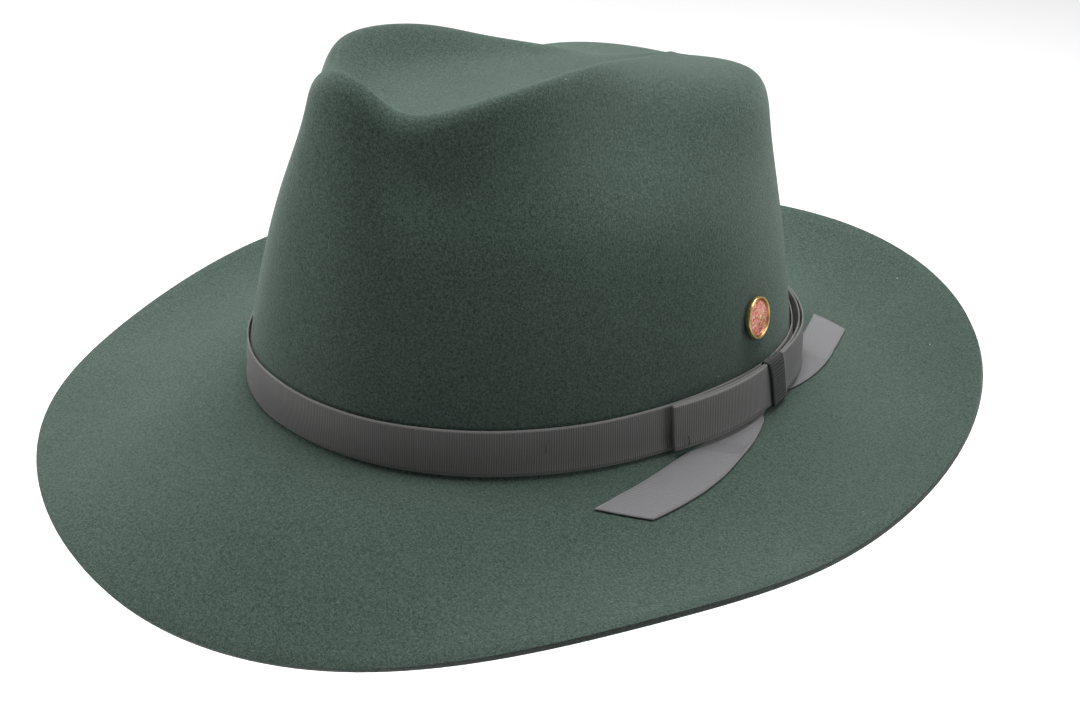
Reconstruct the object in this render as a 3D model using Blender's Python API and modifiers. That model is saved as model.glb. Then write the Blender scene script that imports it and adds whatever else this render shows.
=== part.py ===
"""Teardrop-crown felt hat with a snap brim: felt body, ribbon band and bow, pin badge,
leather sweatband and satin lining. Metres, Z up, the front toward -Y, the wearer's left +X.
The origin is the centre of the head opening, level with the break between crown and brim."""

import bmesh
import bpy
import numpy as np
from mathutils import Matrix, Vector

HALF_WIDTH = 0.0858
HALF_LENGTH = 0.0999
OVAL_POWER = 2.15
EGG = 0.039
FELT = 0.0022
MERIDIANS = 48
FELT_ROWS = 27
# Share of the felt's profile, from the brim's edge, at which the brim turns up into the crown.
BREAK = 0.25

# One row for each station round the crown: angle from the front, then where the crest of the
# crown is (side, back), where the wall's belly is (height, share of the way to the crest) and
# where its neck is (share of the way, drop below the crest). Millimetres. The crest's height
# differs from side to side, so it has a row of its own for each side of the hat.
STATIONS = (
    (0, 0, -84.5, 78, 0.36, 0.76, 15),
    (16, 12.8, -81.5, 78, 0.36, 0.78, 16),
    (33, 22, -71.5, 76, 0.44, 0.85, 20),
    (54, 38, -52.5, 74, 0.35, 0.85, 22),
    (78, 39, -20, 76, 0.25, 0.82, 24),
    (102, 32.5, 5.5, 76, 0.21, 0.70, 20),
    (126, 22.3, 30.8, 80.5, 0.26, 0.41, 8),
    (152, 13.3, 53, 88.5, 0.26, 0.28, 3),
    (180, 0, 64.4, 89.5, 0.25, 0.42, 4.5),
)
# Height of the crest at each station, down the wearer's left and then down the right, in mm.
CREST_LEFT = (121.5, 116.5, 109.5, 116, 119, 116.5, 110.5, 106, 100.5)
CREST_RIGHT = (121.5, 119.5, 116.5, 119, 117, 110, 103.5, 98, 100.5)
# How far the crest is rounded off at the front, in shares of the way and in metres.
NOSE_ROUNDING = 0.14
NOSE_DROP = 0.004
CREASE_FLOOR = 0.104
CREASE_FALL = 0.05
CREASE_REACH = 0.061

BRIM_WIDTH = 0.0691
# Height of the brim's edge above the band line at every 30 degrees round from the front.
BRIM_EDGE = (
    -0.0300,
    -0.0276,
    -0.0133,
    -0.0124,
    -0.0013,
    0.0105,
    0.0124,
    0.0049,
    -0.0011,
    -0.0024,
    -0.0141,
    -0.0204,
)

RIBBON = 0.0004
RIBBON_GAP = 0.0007
BAND_BOTTOM = 0.0016
BAND_TOP = 0.0172
BOW_ANGLE = 113.8
FRONT_LOOP_END = 82.0
REAR_LOOP_END = 152.0
KNOT_HALF_ANGLE = 3.2
KNOT_LEAN = -0.085
LOOP_OUTSET = 0.0029
LAYER = 0.0011

# Tails, root to tip. Each row holds the inner edge, the middle and the outer edge of the
# ribbon: angle, outset from the head oval in mm, height above the brim in mm.
FRONT_TAIL = (
    ((112.8, 2.6, 14.5), (112.8, 2.6, 7.5), (112.8, 2.6, 2.5)),
    ((110.8, 2.6, 13.9), (110.8, 2.6, 6.0), (110.8, 2.6, 2.4)),
    ((109.4, 2.6, 13.5), (109.4, 2.6, 2.6), (109.4, 2.6, 1.5)),
    ((105.9, 2.6, 12.0), (106.5, 2.6, 1.3), (107.8, 3.3, 0.9)),
    ((102.3, 2.6, 10.0), (103.8, 2.6, 1.2), (106.0, 5.4, 0.8)),
    ((95.0, 2.6, 6.0), (96.8, 2.6, 1.0), (100.3, 9.4, 0.8)),
    ((91.0, 2.6, 3.0), (92.2, 2.6, 1.0), (97.2, 11.4, 0.8)),
    ((89.2, 2.6, 1.1), (90.4, 3.4, 0.9), (95.4, 12.5, 0.8)),
    ((87.2, 2.6, 0.9), (90.0, 7.4, 0.8), (93.5, 13.6, 0.8)),
    ((80.3, 5.6, 0.8), (83.3, 11.6, 0.8), (86.5, 18.2, 0.8)),
    ((74.3, 9.2, 0.8), (77.2, 15.2, 0.8), (80.5, 21.6, 0.8)),
    ((66.5, 14.4, 0.8), (70.6, 19.4, 0.8), (75.0, 24.3, 0.8)),
    ((61.5, 18.6, 0.8), (65.4, 22.8, 0.8), (69.3, 27.0, 0.8)),
)
REAR_TAIL = (
    ((115.2, 2.6, 14.5), (115.2, 2.6, 7.5), (115.2, 2.6, 2.5)),
    ((118.2, 2.6, 13.6), (118.2, 2.6, 6.0), (118.2, 2.6, 2.4)),
    ((119.6, 2.6, 13.0), (119.6, 2.6, 2.6), (119.6, 2.6, 1.5)),
    ((123.9, 2.6, 11.5), (123.3, 2.6, 1.3), (121.8, 3.3, 0.9)),
    ((128.6, 2.6, 9.5), (127.0, 2.6, 1.2), (124.8, 5.4, 0.8)),
    ((136.0, 2.6, 5.5), (134.5, 2.6, 1.0), (131.0, 9.4, 0.8)),
    ((139.5, 2.6, 3.0), (138.5, 2.6, 1.0), (134.0, 11.4, 0.8)),
    ((141.5, 2.6, 1.1), (140.5, 3.4, 0.9), (136.0, 12.8, 0.8)),
    ((143.5, 2.6, 0.9), (141.0, 8.0, 0.8), (138.0, 14.2, 0.8)),
    ((149.0, 8.8, 0.8), (146.6, 13.6, 0.8), (144.0, 18.8, 0.8)),
    ((154.5, 15.5, 0.8), (151.6, 19.4, 0.8), (148.5, 23.6, 0.8)),
    ((159.0, 22.2, 0.8), (155.8, 25.4, 0.8), (152.3, 28.4, 0.8)),
)

BADGE_ANGLE = 109.75
BADGE_HEIGHT = 0.0337
BADGE_RADIUS = 0.0073
BADGE_THICKNESS = 0.0020
BADGE_RIM = 0.0009
POST_RADIUS = 0.0005
POST_HOLE = 0.0009
POST_LENGTH = 0.0082
CLUTCH_RADIUS = 0.0048
CLUTCH_LENGTH = 0.0030

SWEATBAND_TOP = 0.040
SWEATBAND_BOTTOM = 0.0026
SWEATBAND_LEAN = 0.0080
LEATHER = 0.0010
TAPE = 0.0004
TAPE_TOP = 0.0085
REED_RADIUS = 0.0008
REED_INSET = 0.0048
REED_HEIGHT = 0.0006
THREAD_RADIUS = 0.00022
STITCH_COUNT = 48
LINING = 0.0005
LINING_INSET = 0.0074
LINING_BOTTOM = 0.034
LINING_TOP = 0.084
LINING_TIP_DROP = 0.0012

FELT_COLOR = (0.030, 0.058, 0.044)
RIBBON_COLOR = (0.090, 0.090, 0.095)
BRASS_COLOR = (0.72, 0.50, 0.22)
ENAMEL_COLOR = (0.42, 0.03, 0.03)
STEEL_COLOR = (0.62, 0.62, 0.60)
LEATHER_COLOR = (0.21, 0.085, 0.034)
TAPE_COLOR = (0.035, 0.035, 0.035)
REED_COLOR = (0.70, 0.70, 0.66)
THREAD_COLOR = (0.55, 0.46, 0.33)
DARK_THREAD_COLOR = (0.05, 0.05, 0.05)
SATIN_COLOR = (0.36, 0.30, 0.20)
PAPER_COLOR = (0.75, 0.73, 0.66)


def clear_scene():
    for obj in list(bpy.data.objects):
        bpy.data.objects.remove(obj)


def new_collection(name):
    collection = bpy.data.collections.new(name)
    bpy.context.scene.collection.children.link(collection)
    return collection


def new_material(name, color, roughness, metallic=0.0):
    material = bpy.data.materials.new(name)
    material.use_nodes = True
    shader = material.node_tree.nodes["Principled BSDF"]
    shader.inputs["Base Color"].default_value = (*color, 1.0)
    shader.inputs["Roughness"].default_value = roughness
    shader.inputs["Metallic"].default_value = metallic
    return material


def add_object(collection, name, bm, material):
    """Turn a finished bmesh into an object with its faces turned outward."""
    bmesh.ops.recalc_face_normals(bm, faces=bm.faces)
    mesh = bpy.data.meshes.new(name)
    bm.to_mesh(mesh)
    bm.free()
    for face in mesh.polygons:
        face.use_smooth = True
    obj = bpy.data.objects.new(name, mesh)
    obj.data.materials.append(material)
    collection.objects.link(obj)
    return obj


def periodic_spline(angles, values):
    """Smooth closed curve through (angle, value) pairs, as a function of the angle."""
    angles = np.asarray(angles, float)
    values = np.asarray(values, float)
    gap = np.diff(np.append(angles, angles[0] + 2 * np.pi))
    slope = (np.roll(values, -1) - values) / gap
    count = len(angles)
    matrix = np.zeros((count, count))
    for k in range(count):
        matrix[k, k - 1] += gap[k - 1]
        matrix[k, k] += 2 * (gap[k - 1] + gap[k])
        matrix[k, (k + 1) % count] += gap[k]
    bend = np.linalg.solve(matrix, 6 * (slope - np.roll(slope, 1)))

    def at(angle):
        angle = np.mod(np.asarray(angle) - angles[0], 2 * np.pi) + angles[0]
        k = np.clip(np.searchsorted(angles, angle, side="right") - 1, 0, count - 1)
        after = (k + 1) % count
        t = angle - angles[k]
        rise = (values[after] - values[k]) / gap[k]
        first = rise - gap[k] * (2 * bend[k] + bend[after]) / 6
        third = (bend[after] - bend[k]) / (6 * gap[k])
        return values[k] + t * (first + t * (bend[k] / 2 + t * third))

    return at


def two_sided(left, right):
    """Spline round the hat through a value at each station of its left and of its right."""
    angle = np.radians([row[0] for row in STATIONS])
    other_side = slice(-2, 0, -1)
    return periodic_spline(
        np.concatenate([angle, 2 * np.pi - angle[other_side]]),
        np.concatenate([left, right[other_side]]),
    )


def mirrored(column, sign, scale):
    """Spline through a column of STATIONS, the same on both sides of the hat."""
    value = np.array([row[column] for row in STATIONS]) * scale
    return two_sided(value, sign * value)


crest_side = mirrored(1, -1, 0.001)
crest_back = mirrored(2, 1, 0.001)
crest_height = two_sided(np.array(CREST_LEFT) * 0.001, np.array(CREST_RIGHT) * 0.001)
belly_height = mirrored(3, 1, 0.001)
belly_share = mirrored(4, 1, 1.0)
neck_share = mirrored(5, 1, 1.0)
neck_drop = mirrored(6, 1, 0.001)
brim_edge = periodic_spline(np.radians(np.arange(0, 360, 30)), BRIM_EDGE)


def outward(angle):
    """Horizontal direction square to the head oval at an angle from the front."""
    s = np.sin(angle)
    c = np.cos(angle)
    x = np.sign(s) * np.abs(s) ** (OVAL_POWER - 1) / HALF_WIDTH
    y = -np.sign(c) * np.abs(c) ** (OVAL_POWER - 1) / HALF_LENGTH
    length = np.hypot(x, y)
    return x / length, y / length


def oval(angle, outset=0.0):
    """The head oval, an egg-shaped superellipse, moved outward by outset."""
    s = np.sin(angle)
    c = np.cos(angle)
    r = (np.abs(s) ** OVAL_POWER + np.abs(c) ** OVAL_POWER) ** (-1 / OVAL_POWER)
    nx, ny = outward(angle)
    x = HALF_WIDTH * s * r * (1 - EGG * c) + outset * nx
    y = -HALF_LENGTH * c * r + outset * ny
    return x, y


def bspline(points, t):
    """Clamped cubic B-spline over a list of control points, at parameters t from 0 to 1."""
    count = len(points)
    inner = np.linspace(0, 1, count - 2)
    knots = np.concatenate([[0] * 3, inner, [1] * 3])
    t = np.minimum(t, 1 - 1e-9)
    basis = [((t >= knots[i]) & (t < knots[i + 1])).astype(float) for i in range(count + 3)]
    for degree in (1, 2, 3):
        raised = []
        for i in range(count + 3 - degree):
            value = np.zeros_like(t)
            before = knots[i + degree] - knots[i]
            after = knots[i + degree + 1] - knots[i + 1]
            if before > 0:
                value += (t - knots[i]) / before * basis[i]
            if after > 0:
                value += (knots[i + degree + 1] - t) / after * basis[i + 1]
            raised.append(value)
        basis = raised
    return np.tensordot(np.array(basis).T, points, axes=1)


def brim_width(angle):
    return BRIM_WIDTH + 0.0017 * np.cos(angle) + 0.0042 * np.cos(2 * angle)


def brim_controls(angle):
    """Control points of the brim from its edge in to the break, at one or more angles."""
    width = brim_width(angle)
    front = np.clip(np.cos(angle), 0, 1) ** 1.5
    side = np.sin(angle) ** 2
    back = np.clip(-np.cos(angle), 0, 1)
    dip = -0.010 * side - 0.014 * front - 0.002 * back
    heights = (brim_edge(angle), dip, -0.002 - 0.002 * side, np.zeros_like(width))
    rows = []
    for share, height in zip((1.0, 0.68, 0.35, 0.05), heights):
        x, y = oval(angle, width * share)
        rows.append((x, y, height))
    return rows


def crown_controls(angle):
    """Control points of the crown from the break up the wall, over the crest to the crease."""
    x, y = oval(angle, -0.0006)
    foot_x, foot_y = oval(angle, 0.0018 * np.cos(2 * angle) - 0.0009)
    crest_x = crest_side(angle)
    crest_y = crest_back(angle)
    crest_z = crest_height(angle)
    floor_y = np.clip(crest_y * 0.9, -CREASE_REACH, CREASE_REACH)
    floor_z = CREASE_FLOOR - CREASE_FALL * floor_y
    nose = np.clip(np.cos(angle), 0, 1) ** 3
    belly = belly_share(angle)
    belly_z = belly_height(angle)

    def inward(share, height):
        return (
            foot_x + share * (crest_x - foot_x),
            foot_y + share * (crest_y - foot_y),
            height,
        )

    def to_floor(share, height):
        return (crest_x * (1 - share), crest_y + share * (floor_y - crest_y), height)

    return [
        (x, y, -0.0002 + 0 * x),
        ((x + foot_x) / 2, (y + foot_y) / 2, 0.0065 + 0 * x),
        (foot_x, foot_y, 0.016 + 0 * x),
        inward(belly * 0.4, belly_z * 0.6),
        inward(belly, belly_z),
        inward(neck_share(angle), crest_z - neck_drop(angle)),
        inward(0.96 - NOSE_ROUNDING * nose, crest_z - 0.001 - NOSE_DROP * nose),
        to_floor(0.08 + NOSE_ROUNDING * nose, crest_z + 0.001),
        to_floor(0.30, floor_z + 0.45 * (crest_z - floor_z)),
        to_floor(0.52, floor_z + 0.0004),
        to_floor(1.0, floor_z),
    ]


def felt_surface(angle, t):
    """Outside of the felt from brim edge (t = 0) to crease floor (t = 1): [t, xyz, angle]."""
    controls = brim_controls(angle) + crown_controls(angle)
    return bspline(np.array(controls), t)


def wall(angle, height, outset=0.0):
    """Point on the outside of the crown's wall at a height, moved outward by outset."""
    climb = felt_surface(np.array([angle]), np.linspace(BREAK, 0.7, 400))[:, :, 0]
    x = np.interp(height, climb[:, 2], climb[:, 0])
    y = np.interp(height, climb[:, 2], climb[:, 1])
    nx, ny = outward(angle)
    return Vector((x + outset * nx, y + outset * ny, height))


def on_brim(angle, lift, outset):
    """Point a lift above the top of the brim at an outset from the head oval."""
    brim = felt_surface(np.array([angle]), np.linspace(BREAK, 0, 400))[:, :, 0]
    x, y = oval(angle)
    nx, ny = outward(angle)
    outsets = (brim[:, 0] - x) * nx + (brim[:, 1] - y) * ny
    height = np.interp(outset, outsets, brim[:, 2])
    return Vector((x + outset * nx, y + outset * ny, height + lift))


def sweep(sections, closed=False):
    """Bridge a list of equal closed sections. Open ends are capped across each section,
    whose points run out along one side and back along the other."""
    bm = bmesh.new()
    rings = [[bm.verts.new(point) for point in section] for section in sections]
    size = len(rings[0])
    pairs = list(zip(rings, rings[1:]))
    if closed:
        pairs.append((rings[-1], rings[0]))
    for one, two in pairs:
        for k in range(size):
            after = (k + 1) % size
            bm.faces.new((one[k], one[after], two[after], two[k]))
    if not closed:
        for ring in (rings[0], rings[-1]):
            for k in range(size // 2 - 1):
                bm.faces.new((ring[k], ring[k + 1], ring[size - 2 - k], ring[size - 1 - k]))
    return bm


def wall_section(angle, heights, near, far):
    """Upright section of a strip against the wall, between two outsets at each height."""
    outside = [wall(angle, h, far(h)) for h in heights]
    inside = [wall(angle, h, near(h)) for h in reversed(heights)]
    return outside + inside


def around(first, last, count):
    """Angles in radians from first to last, given in degrees."""
    return np.radians(np.linspace(first, last, count))


def ring_angles():
    return around(0, 360, MERIDIANS + 1)[:-1]


def make_felt(collection, cutters, material):
    """Felt body: one skin from brim edge to crease floor, thickened inward, pierced for the pin."""
    rows = felt_surface(ring_angles(), np.linspace(0, 1, FELT_ROWS))
    bm = bmesh.new()
    rings = [[bm.verts.new(point) for point in row.T] for row in rows]
    for one, two in zip(rings, rings[1:]):
        for k in range(MERIDIANS):
            after = (k + 1) % MERIDIANS
            bm.faces.new((one[k], one[after], two[after], two[k]))
    bmesh.ops.remove_doubles(bm, verts=rings[-1], dist=0.0001)
    felt = add_object(collection, "felt_body", bm, material)
    solidify = felt.modifiers.new("felt_thickness", "SOLIDIFY")
    solidify.thickness = FELT
    solidify.offset = -1.0
    solidify.use_even_offset = True

    cutter = make_rod(cutters, "pin_hole_cutter", POST_HOLE, 0.02, badge_frame(-0.010), material, 12)
    cutter.hide_render = True
    cutter.display_type = "WIRE"
    hole = felt.modifiers.new("pin_hole", "BOOLEAN")
    hole.operation = "DIFFERENCE"
    hole.solver = "EXACT"
    hole.object = cutter


def badge_frame(outset):
    """Frame of the badge: Z points out of the wall, the origin stands outset from the felt."""
    angle = np.radians(BADGE_ANGLE)
    centre = wall(angle, BADGE_HEIGHT)
    up = wall(angle, BADGE_HEIGHT + 0.003) - wall(angle, BADGE_HEIGHT - 0.003)
    along = wall(angle + 0.05, BADGE_HEIGHT) - wall(angle - 0.05, BADGE_HEIGHT)
    out = along.cross(up).normalized()
    side = up.normalized().cross(out)
    frame = Matrix((side, out.cross(side), out)).transposed().to_4x4()
    frame.translation = centre + out * outset
    return frame


def turned(profile, frame, segments):
    """Solid of revolution about the frame's Z from (radius, height) pairs, both ends on the axis."""
    bm = bmesh.new()
    points = [bm.verts.new((radius, 0, height)) for radius, height in profile]
    edges = [bm.edges.new(pair) for pair in zip(points, points[1:])]
    bmesh.ops.spin(
        bm,
        geom=points + edges,
        cent=(0, 0, 0),
        axis=(0, 0, 1),
        angle=2 * np.pi,
        steps=segments,
        use_merge=True,
    )
    bmesh.ops.remove_doubles(bm, verts=bm.verts, dist=1e-6)
    bmesh.ops.transform(bm, matrix=frame, verts=bm.verts)
    return bm


def make_rod(collection, name, radius, length, frame, material, segments):
    profile = ((0, 0), (radius, 0), (radius, length), (0, length))
    return add_object(collection, name, turned(profile, frame, segments), material)


def make_badge(collection, brass, enamel, steel):
    """Round pin badge: brass bezel with a raised rim, enamel in it, post and clutch."""
    r = BADGE_RADIUS
    inner = r - BADGE_RIM
    t = BADGE_THICKNESS
    frame = badge_frame(0.0005)
    bezel = (
        (0, 0),
        (r - 0.0004, 0),
        (r, 0.0004),
        (r, t - 0.0003),
        (r - 0.0003, t),
        (inner + 0.0002, t),
        (inner, t - 0.0004),
        (inner, 0.0009),
        (0, 0.0009),
    )
    add_object(collection, "badge_bezel", turned(bezel, frame, 32), brass)
    face = inner - 0.0003
    dome = (
        (0, 0.0012),
        (face, 0.0012),
        (face, t - 0.0006),
        (face * 0.9, t - 0.0003),
        (face * 0.6, t),
        (0, t + 0.0002),
    )
    add_object(collection, "badge_enamel", turned(dome, frame, 32), enamel)

    post_frame = badge_frame(0.0002 - POST_LENGTH)
    rod = POST_RADIUS
    post = (
        (0, 0),
        (rod * 0.5, 0.0007),
        (rod, 0.0016),
        (rod, POST_LENGTH),
        (0, POST_LENGTH),
    )
    add_object(collection, "badge_post", turned(post, post_frame, 12), steel)

    clutch_frame = badge_frame(-FELT - 0.0007 - CLUTCH_LENGTH)
    bore = POST_RADIUS + 0.0003
    wide = CLUTCH_RADIUS
    deep = CLUTCH_LENGTH
    clutch = (
        (bore, 0),
        (wide * 0.5, 0),
        (wide * 0.55, deep * 0.6),
        (wide * 0.95, deep * 0.75),
        (wide, deep),
        (bore, deep),
        (bore, 0),
    )
    add_object(collection, "badge_clutch", turned(clutch, clutch_frame, 24), brass)


def make_band(collection, ribbon):
    """Grosgrain ribbon round the foot of the crown; its ends meet under the knot."""
    heights = (BAND_BOTTOM, 0.0095, BAND_TOP)
    angles = around(BOW_ANGLE + 0.4, BOW_ANGLE + 359.6, MERIDIANS + 1)
    sections = [
        wall_section(
            angle,
            heights,
            lambda h: RIBBON_GAP,
            lambda h: RIBBON_GAP + RIBBON,
        )
        for angle in angles
    ]
    add_object(collection, "hat_band", sweep(sections), ribbon)


def loop_path(end, stand_off):
    """Outsets along a folded loop: out from the knot to the end, round the fold and back."""
    start = BOW_ANGLE + np.sign(end - BOW_ANGLE) * 1.0
    fold = end - np.sign(end - BOW_ANGLE) * 0.4
    shares = np.linspace(0, 1, 9)
    bulge = np.sin(np.pi * np.clip(shares - 0.12, 0, 1) / 0.88) * stand_off
    outer = [
        (start + (fold - start) * share, LOOP_OUTSET + LAYER + push)
        for share, push in zip(shares, bulge)
    ]
    inner = [
        (start + (fold - start) * share, LOOP_OUTSET + push * 0.35)
        for share, push in zip(shares, bulge)
    ]
    return outer + [(end, LOOP_OUTSET + LAYER / 2)] + inner[::-1]


def make_loop(collection, name, end, stand_off, material):
    """Ribbon folded back on itself beside the knot, standing on edge against the band."""
    path = [
        [wall(np.radians(angle), height, outset) for angle, outset in loop_path(end, stand_off)]
        for height in (BAND_BOTTOM + 0.0006, 0.0095, BAND_TOP + 0.0006)
    ]
    thickness = RIBBON * np.sign(BOW_ANGLE - end)
    sections = [thick_strip(line, thickness) for line in path]
    add_object(collection, name, sweep(sections), material)


def thick_strip(line, thickness):
    """Closed upright section: a line of points and its copy a thickness to the right of it."""
    flat = [Vector((point.x, point.y, 0)) for point in line]
    shifted = []
    for k, point in enumerate(line):
        before = flat[max(k - 1, 0)]
        after = flat[min(k + 1, len(flat) - 1)]
        along = (after - before).normalized()
        shifted.append(point + Vector((along.y, -along.x, 0)) * thickness)
    return line + shifted[::-1]


def make_knot(collection, material):
    """Short ribbon tube wrapped round the roots of both loops and both tails."""
    low = 0.0014
    high = BAND_TOP + 0.0010
    near = RIBBON_GAP + RIBBON + 0.0004 + RIBBON
    far = LOOP_OUTSET + LAYER + RIBBON + 0.0003

    def around_section(angle, grow):
        corners = (
            (far + grow, low - grow),
            (far + grow + 0.0003, (low + high) / 2),
            (far + grow, high + grow),
            (near - grow, high + grow),
            (near - grow, (low + high) / 2),
            (near - grow, low - grow),
        )
        points = []
        for outset, height in corners:
            lean = KNOT_LEAN * (height - 0.009) * 1000
            points.append(wall(np.radians(angle + lean), height, outset))
        return points

    bm = bmesh.new()
    angles = np.linspace(BOW_ANGLE - KNOT_HALF_ANGLE, BOW_ANGLE + KNOT_HALF_ANGLE, 5)
    skins = []
    for grow in (0.0, RIBBON):
        skins.append([[bm.verts.new(p) for p in around_section(a, grow)] for a in angles])
    size = 6
    for skin in skins:
        for one, two in zip(skin, skin[1:]):
            for k in range(size):
                after = (k + 1) % size
                bm.faces.new((one[k], one[after], two[after], two[k]))
    for end in (0, -1):
        inner = skins[0][end]
        outer = skins[1][end]
        for k in range(size):
            after = (k + 1) % size
            bm.faces.new((inner[k], inner[after], outer[after], outer[k]))
    add_object(collection, "bow_knot", bm, material)


def make_tail(collection, name, rows, material):
    """Ribbon tail: on edge at the knot, twisting flat onto the brim, its tip cut at a slant."""
    table = np.array(rows)
    stations = np.linspace(0, len(rows) - 1, 2 * len(rows) - 1)
    sections = []
    for station in stations:
        first = min(int(station), len(rows) - 2)
        row = table[first] + (station - first) * (table[first + 1] - table[first])
        top = []
        under = []
        for degrees, outset, lift in row:
            angle = np.radians(degrees)
            nx, ny = outward(angle)
            upright = min(max((lift - 1.0) / 1.5, 0.0), 1.0)
            place = wall if upright else on_brim
            point = place(angle, lift / 1000, outset / 1000)
            top.append(point)
            inward = Vector((-nx, -ny, 0)) * upright + Vector((0, 0, upright - 1))
            under.append(point + inward.normalized() * RIBBON)
        sections.append(top + under[::-1])
    add_object(collection, name, sweep(sections), material)


def make_stitch(collection, name, angle, height, outset, material):
    """One short upright stitch: a thread staple whose legs go into the ribbon."""
    legs = (
        (height - 0.0012, outset),
        (height - 0.0012, outset + 0.0003),
        (height - 0.0008, outset + 0.0006),
        (height + 0.0008, outset + 0.0006),
        (height + 0.0012, outset + 0.0003),
        (height + 0.0012, outset),
    )
    curve = bpy.data.curves.new(name, "CURVE")
    curve.dimensions = "3D"
    curve.bevel_depth = THREAD_RADIUS
    curve.bevel_resolution = 1
    curve.use_fill_caps = True
    spline = curve.splines.new("POLY")
    spline.points.add(len(legs) - 1)
    for point, (z, out) in zip(spline.points, legs):
        point.co = (*wall(np.radians(angle), z, out), 1)
    obj = bpy.data.objects.new(name, curve)
    obj.data.materials.append(material)
    collection.objects.link(obj)


def leather_outside(height):
    """Outset of the leather's face toward the felt at a height: its free top leans inward."""
    return -FELT - TAPE - 0.0012 - SWEATBAND_LEAN * height / SWEATBAND_TOP


def leather_inside(height):
    return leather_outside(height) - LEATHER


def make_sweatband(collection, leather, tape, reed, thread):
    """Leather sweatband, its reed and the reed's cover tape, and the stitching that joins them."""
    heights = (SWEATBAND_BOTTOM, 0.012, 0.026, SWEATBAND_TOP)
    angles = around(180.5, 539.5, MERIDIANS + 1)
    sections = [wall_section(angle, heights, leather_inside, leather_outside) for angle in angles]
    add_object(collection, "sweatband", sweep(sections), leather)

    sections = []
    for angle in ring_angles():
        centre = reed_centre(angle)
        nx, ny = outward(angle)
        out = Vector((nx, ny, 0))
        section = []
        for turn in np.radians(np.arange(0, 360, 60)):
            section.append(centre + (out * np.cos(turn) + Vector((0, 0, np.sin(turn)))) * REED_RADIUS)
        sections.append(section)
    add_object(collection, "sweatband_reed", sweep(sections, closed=True), reed)

    sections = []
    for angle in around(180.5, 539.5, MERIDIANS + 1):
        sections.append(tape_section(angle))
    add_object(collection, "reed_tape", sweep(sections), tape)

    sections = []
    count = STITCH_COUNT * 2
    for k in range(count):
        angle = 2 * np.pi * k / count
        height = SWEATBAND_BOTTOM + (0.0010 if k % 2 else 0.0026)
        outset = leather_inside(height) - 0.0007
        centre = wall(angle, height, outset)
        nx, ny = outward(angle)
        out = Vector((nx, ny, 0)) * THREAD_RADIUS
        rise = Vector((0, 0, THREAD_RADIUS))
        sections.append([centre + out, centre + rise, centre - out, centre - rise])
    add_object(collection, "sweatband_stitching", sweep(sections, closed=True), thread)


def reed_centre(angle):
    return wall(angle, REED_HEIGHT, -REED_INSET)


def tape_section(angle):
    """Cover tape: up between felt and leather on one side, round under the reed to the other."""
    centre = reed_centre(angle)
    nx, ny = outward(angle)
    out = Vector((nx, ny, 0))
    up = Vector((0, 0, 1))
    inner = REED_RADIUS + 0.0004
    outer = inner + TAPE
    turns = np.radians((0, -45, -90, -135, -180))
    near = [centre + (out * np.cos(t) + up * np.sin(t)) * inner for t in turns]
    far = [centre + (out * np.cos(t) + up * np.sin(t)) * outer for t in turns]
    tab_near = wall(angle, TAPE_TOP, -FELT - 0.0008 - TAPE)
    tab_far = wall(angle, TAPE_TOP, -FELT - 0.0008)
    return [tab_far] + far + near[::-1] + [tab_near]


def make_rear_bow(collection, material):
    """Small flat bow that covers the sweatband's seam at the back, inside the hat."""
    height = 0.010

    def section(degrees, half, thickness):
        angle = np.radians(degrees)
        top = leather_inside(height + half) - 0.0006
        bottom = leather_inside(height - half) - 0.0006
        return [
            wall(angle, height + half, top),
            wall(angle, height - half, bottom),
            wall(angle, height - half, bottom - thickness),
            wall(angle, height + half, top - thickness),
        ]

    for name, sign in (("rear_bow_left", -1), ("rear_bow_right", 1)):
        sections = []
        for share in np.linspace(0, 1, 6):
            half = 0.0016 + 0.0028 * np.sin(np.pi * min(share + 0.15, 1) / 1.15) ** 0.7
            thickness = 0.0008 + 0.0012 * np.sin(np.pi * share)
            sections.append(section(180 + sign * (1.6 + 7.5 * share), half, thickness))
        add_object(collection, name, sweep(sections), material)
    sections = [section(180 + 1.1 * share, 0.0024, 0.0018) for share in np.linspace(-1, 1, 4)]
    add_object(collection, "rear_bow_knot", sweep(sections), material)


def make_size_tab(collection, paper):
    """Blank size tab standing between the sweatband and the felt near the back."""
    sections = []
    for angle in around(162, 168, 4):
        heights = (0.012, 0.022, 0.033)
        sections.append(
            wall_section(
                angle,
                heights,
                lambda h: leather_outside(h) + 0.0004,
                lambda h: leather_outside(h) + 0.0007,
            )
        )
    add_object(collection, "size_tab", sweep(sections), paper)


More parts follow.
